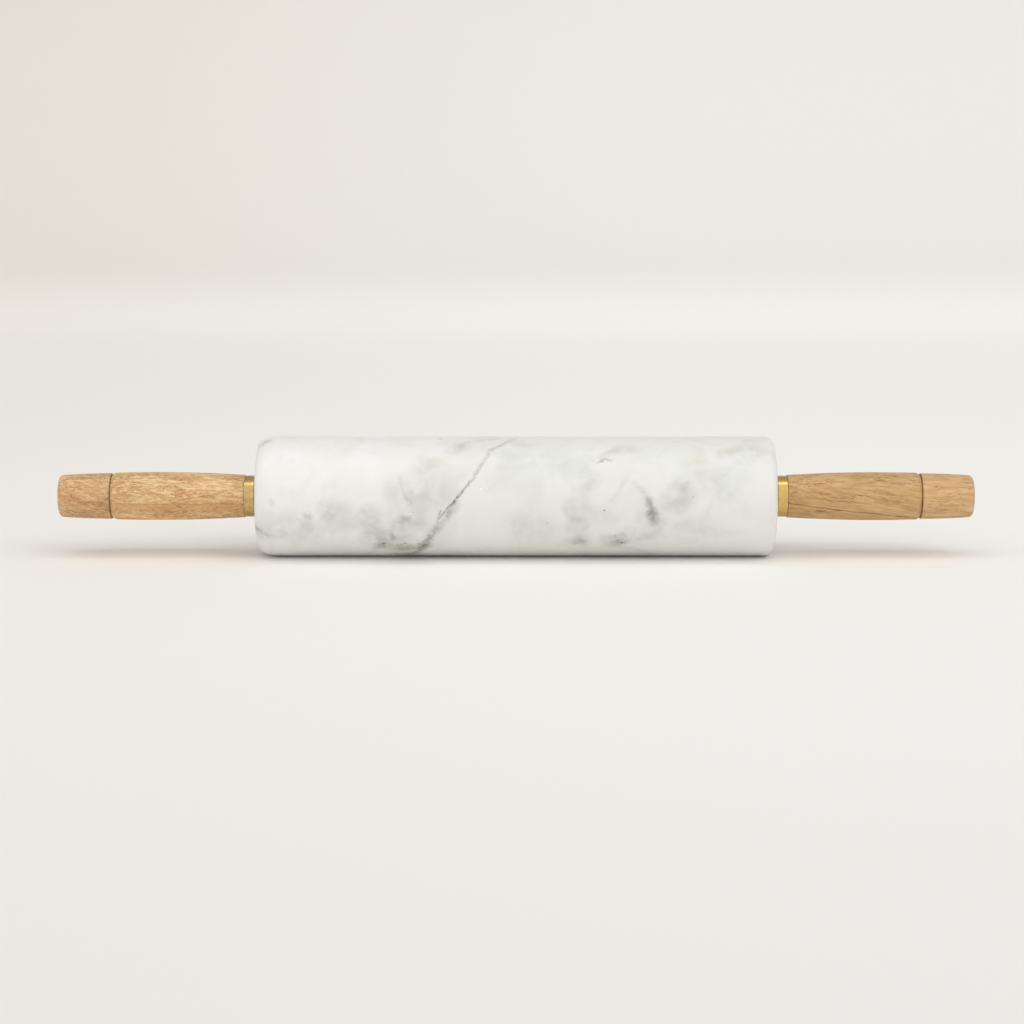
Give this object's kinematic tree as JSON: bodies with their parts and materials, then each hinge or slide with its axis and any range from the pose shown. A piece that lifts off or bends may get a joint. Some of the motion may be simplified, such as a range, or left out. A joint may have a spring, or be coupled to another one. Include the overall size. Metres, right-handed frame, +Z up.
{
  "type": "rolling pin",
  "caption": "Marble rolling pin whose heavy round barrel turns on a steel axle between turned wood handles with brass ferrules.",
  "frame": {"origin": "on the table under the middle of the barrel, where the barrel touches it", "axes": "+X along the axle towards the right handle as pictured, +Z up, -Y towards the camera"},
  "size_m": [0.4512, 0.059, 0.059],
  "materials": {
    "marble": "honed, soft shine",
    "nylon": "matte",
    "steel": "satin",
    "brass": "satin",
    "handle_wood": "satin",
    "cap_wood": "satin"
  },
  "bodies": {
    "barrel": {"marble_barrel": "marble", "left_bush": "nylon", "right_bush": "nylon"},
    "axle": {"axle_rod": "steel", "spacer_tube": "steel", "left_thrust_washer": "steel", "right_thrust_washer": "steel", "left_ferrule": "brass", "right_ferrule": "brass", "left_handle": "handle_wood", "right_handle": "handle_wood", "left_washer": "steel", "right_washer": "steel", "left_nut": "steel", "right_nut": "steel", "left_end_cap": "cap_wood", "right_end_cap": "cap_wood"}
  },
  "joints": [
    {"name": "axle_spin", "type": "hinge", "parent": "barrel", "child": "axle", "pos_m": [0, 0, 0.0295], "axis": [1, 0, 0], "continuous": true}
  ]
}
